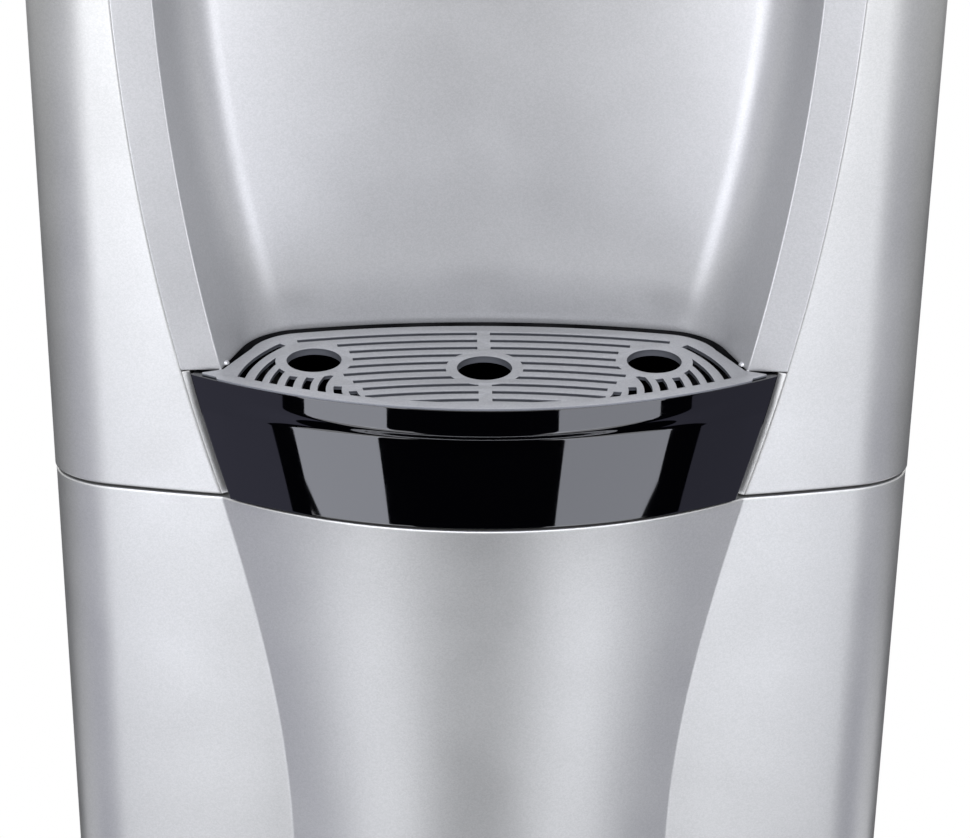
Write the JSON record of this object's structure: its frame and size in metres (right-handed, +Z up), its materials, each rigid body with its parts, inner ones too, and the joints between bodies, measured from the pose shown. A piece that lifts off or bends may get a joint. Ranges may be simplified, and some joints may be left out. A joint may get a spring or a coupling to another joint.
{
  "type": "water cooler with cabinet",
  "caption": "Floor-standing silver water cooler with a flared cup recess, black drip tray with slotted grille, push-button head, bottle collar and a hinged storage cabinet.",
  "frame": {"origin": "on the floor under the middle of the bounding box", "axes": "+Z up, the front with the tray and door faces -Y, +X to the viewer's right"},
  "size_m": [0.3126, 0.3396, 1],
  "materials": {
    "silver_abs": "metallic silver paint on moulded ABS",
    "recess_abs": "satin silver moulded ABS",
    "grille_abs": "fine satin silver-grey moulding",
    "black_gloss": "polished black moulding",
    "silver_steel": "silver powder-coated sheet",
    "zinc_sheet": "zinc-coated sheet",
    "dark_abs": "dark grey moulded base",
    "rubber": "moulded rubber",
    "white_abs": "satin white moulding",
    "shelf_abs": "light grey moulding",
    "steel_pin": "turned steel",
    "magnet": "black magnet catch",
    "stainless": "drawn stainless steel",
    "foam": "expanded foam",
    "copper": "drawn copper tube",
    "black_steel": "black enamelled steel",
    "black_plastic": "black moulding",
    "hose": "clear silicone hose",
    "blue_abs": "blue moulding",
    "grey_abs": "light grey moulding",
    "red_abs": "red moulding",
    "green_abs": "green moulding",
    "lens": "clear tinted lens",
    "board": "circuit board"
  },
  "bodies": {
    "cabinet": {"base": "dark_abs", "feet": "rubber", "left_side_panel": "silver_steel", "right_side_panel": "silver_steel", "back_panel": "zinc_sheet", "front_panel": "silver_abs", "recess_panel": "recess_abs", "jamb_trims": "recess_abs", "tray_well": "dark_abs", "head_fascia": "black_gloss", "top_cover": "silver_abs", "door_magnet": "magnet", "hinge_pins": "steel_pin", "hinge_brackets": "zinc_sheet", "cabinet_liner": "white_abs", "cabinet_shelf": "shelf_abs", "lower_deck": "zinc_sheet", "upper_deck": "zinc_sheet", "cold_tank": "stainless", "cold_insulation": "foam", "evaporator_coil": "copper", "hot_tank": "stainless", "hot_insulation": "foam", "heater_band": "stainless", "thermostats": "black_plastic", "compressor": "black_steel", "compressor_mounts": "rubber", "condenser_pipe": "black_steel", "condenser_wires": "black_steel", "condenser_brackets": "zinc_sheet", "filter_dryer": "copper", "refrigerant_pipes": "copper", "cold_hose": "hose", "room_hose": "hose", "hot_hose": "hose", "cold_valve": "white_abs", "room_valve": "white_abs", "hot_valve": "white_abs", "indicator_lenses": "lens", "control_board": "board", "switch_housing": "black_plastic", "power_inlet": "black_plastic", "drain_plugs": "grey_abs", "panel_screws": "steel_pin", "cover_screws": "steel_pin"},
    "door": {"door_skin": "silver_abs", "door_liner": "white_abs", "door_strike": "steel_pin"},
    "tray": {"drip_tray": "black_gloss"},
    "grille": {"drip_grille": "grille_abs"},
    "collar": {"bottle_collar": "dark_abs", "feed_probe": "white_abs"},
    "cold_button": {"cold_button": "blue_abs"},
    "room_button": {"room_button": "grey_abs"},
    "hot_button": {"hot_button": "red_abs"},
    "lock": {"child_lock": "red_abs"},
    "hot_rocker": {"hot_switch": "red_abs"},
    "cold_rocker": {"cold_switch": "green_abs"}
  },
  "joints": [
    {"name": "door_swing", "type": "hinge", "parent": "cabinet", "child": "door", "pos_m": [0.1448, -0.1055, 0.3], "axis": [0, 0, 1], "range_deg": [0, 95]},
    {"name": "tray_slide", "type": "slide", "parent": "cabinet", "child": "tray", "axis": [0, -1, 0], "range_m": [0, 0.09]},
    {"name": "grille_lift", "type": "slide", "parent": "tray", "child": "grille", "axis": [0, 0, 1], "range_m": [0, 0.04]},
    {"name": "collar_lift", "type": "slide", "parent": "cabinet", "child": "collar", "axis": [0, 0, 1], "range_m": [0, 0.08]},
    {"name": "cold_press", "type": "slide", "parent": "cabinet", "child": "cold_button", "axis": [0, 1, 0], "range_m": [0, 0.004], "stiffness_N_per_m": 800, "springref_m": -0.003},
    {"name": "room_press", "type": "slide", "parent": "cabinet", "child": "room_button", "axis": [0, 1, 0], "range_m": [0, 0.004], "stiffness_N_per_m": 800, "springref_m": -0.003},
    {"name": "hot_press", "type": "slide", "parent": "cabinet", "child": "hot_button", "axis": [0, 1, 0], "range_m": [0, 0.004], "stiffness_N_per_m": 800, "springref_m": -0.003},
    {"name": "lock_slide", "type": "slide", "parent": "cabinet", "child": "lock", "axis": [0.9731, 0.2303, 0], "range_m": [0, 0.006]},
    {"name": "hot_rocker_tilt", "type": "hinge", "parent": "cabinet", "child": "hot_rocker", "pos_m": [0.063, 0.1475, 0.872], "axis": [1, 0, 0], "range_deg": [0, 16]},
    {"name": "cold_rocker_tilt", "type": "hinge", "parent": "cabinet", "child": "cold_rocker", "pos_m": [0.077, 0.1475, 0.872], "axis": [1, 0, 0], "range_deg": [0, 16]}
  ]
}
